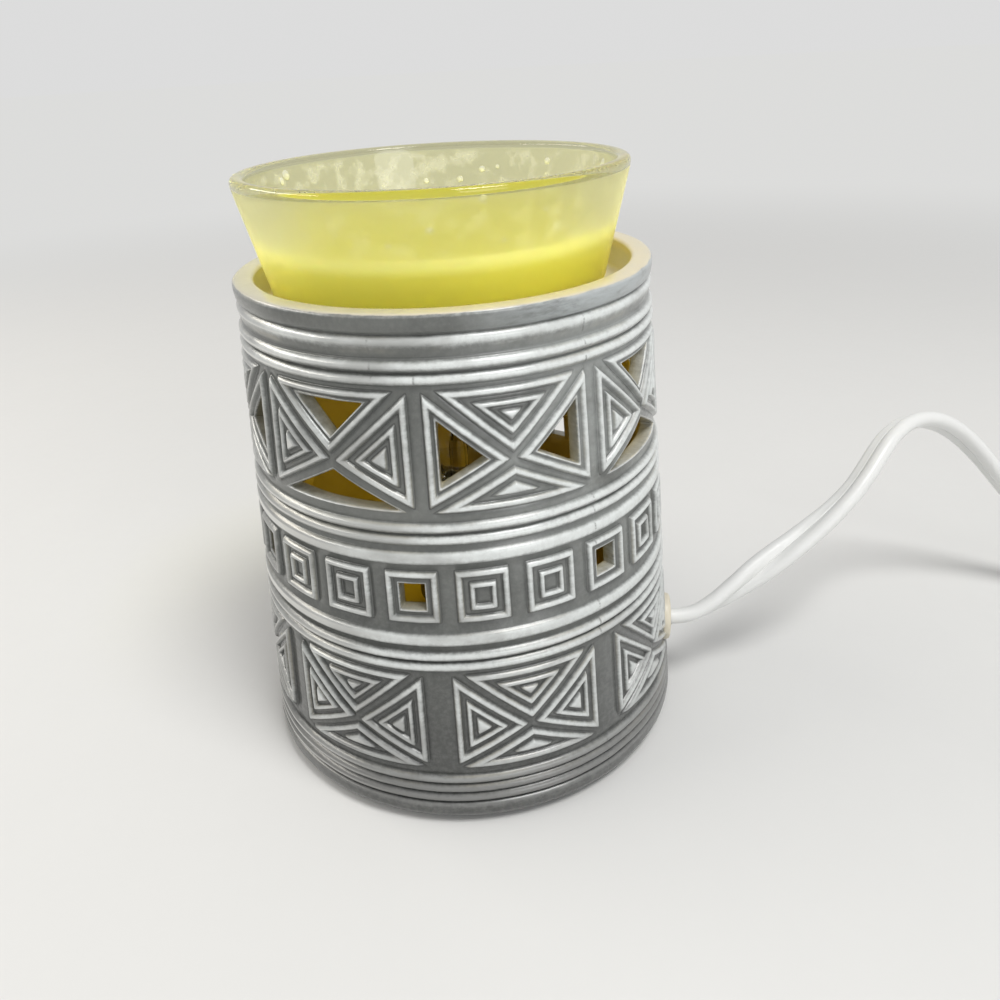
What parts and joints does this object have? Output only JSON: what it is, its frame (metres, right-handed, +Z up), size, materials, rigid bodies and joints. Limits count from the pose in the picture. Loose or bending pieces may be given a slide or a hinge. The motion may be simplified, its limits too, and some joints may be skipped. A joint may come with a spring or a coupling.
{
  "type": "electric wax warmer",
  "caption": "Electric wax warmer: tapered ceramic body pierced and carved in relief, a glass wax dish on top, a lamp inside, and a flat lead with in-line switch and plug.",
  "frame": {"origin": "on the table under the middle of the body, at the underside of the feet", "axes": "+Z up along the body's axis; +X towards the side where the lead leaves; -Y is the front seen in the picture, turned about ten degrees"},
  "size_m": [0.36, 0.107, 0.1264],
  "materials": {
    "ceramic": "matt grey ground with whitewashed relief",
    "foot_rubber": "matt",
    "bushing_plastic": "satin ivory",
    "fixing_steel": "zinc plated",
    "post_steel": "satin",
    "holder_phenolic": "moulded, semi-gloss",
    "contact_brass": "satin",
    "core_insulation": "satin",
    "lamp_solder": "dull",
    "lamp_insulator": "black glass",
    "lamp_cap": "satin",
    "lamp_glass": "clear",
    "lamp_stem_glass": "clear",
    "filament_wire": "dark drawn wire",
    "dish_glass": "frosted outside, clear rim",
    "wax": "soft satin, yellow",
    "cord_jacket": "satin white",
    "tie_plastic": "matt black",
    "switch_plastic": "satin white",
    "wheel_plastic": "satin",
    "plug_plastic": "satin white",
    "blade_brass": "bright"
  },
  "bodies": {
    "warmer_base": {"body_shell": "ceramic", "foot_1": "foot_rubber", "foot_2": "foot_rubber", "foot_3": "foot_rubber", "foot_4": "foot_rubber", "cord_bushing": "bushing_plastic", "mount_screw": "fixing_steel", "mount_washer": "fixing_steel", "lamp_post": "post_steel", "lamp_holder": "holder_phenolic", "holder_thread": "contact_brass", "holder_contact": "contact_brass", "terminal_screw_1": "contact_brass", "terminal_screw_2": "contact_brass", "lead_core_1": "core_insulation", "lead_core_2": "core_insulation", "cord_lead": "cord_jacket", "cord_feed": "cord_jacket", "cord_coil": "cord_jacket", "cord_tail": "cord_jacket", "coil_tie": "tie_plastic", "switch_lower": "switch_plastic", "switch_upper": "switch_plastic", "switch_axle": "fixing_steel", "plug_body": "plug_plastic", "plug_blade_narrow": "blade_brass", "plug_blade_wide": "blade_brass"},
    "wax_dish": {"dish": "dish_glass", "wax": "wax"},
    "lamp": {"bulb_contact": "lamp_solder", "bulb_insulator": "lamp_insulator", "bulb_cap": "lamp_cap", "bulb_glass": "lamp_glass", "bulb_stem": "lamp_stem_glass", "bulb_filament": "filament_wire"},
    "wheel": {"switch_wheel": "wheel_plastic"}
  },
  "joints": [
    {"name": "dish_lift", "type": "slide", "parent": "warmer_base", "child": "wax_dish", "axis": [0, 0, 1], "range_m": [0, 0.04]},
    {"name": "lamp_unscrew", "type": "slide", "parent": "warmer_base", "child": "lamp", "axis": [0, 0, 1], "range_m": [0, 0.0135]},
    {"name": "switch_turn", "type": "hinge", "parent": "warmer_base", "child": "wheel", "pos_m": [0.2043, 0.041, 0.0092], "axis": [0, 1, 0], "continuous": true}
  ]
}
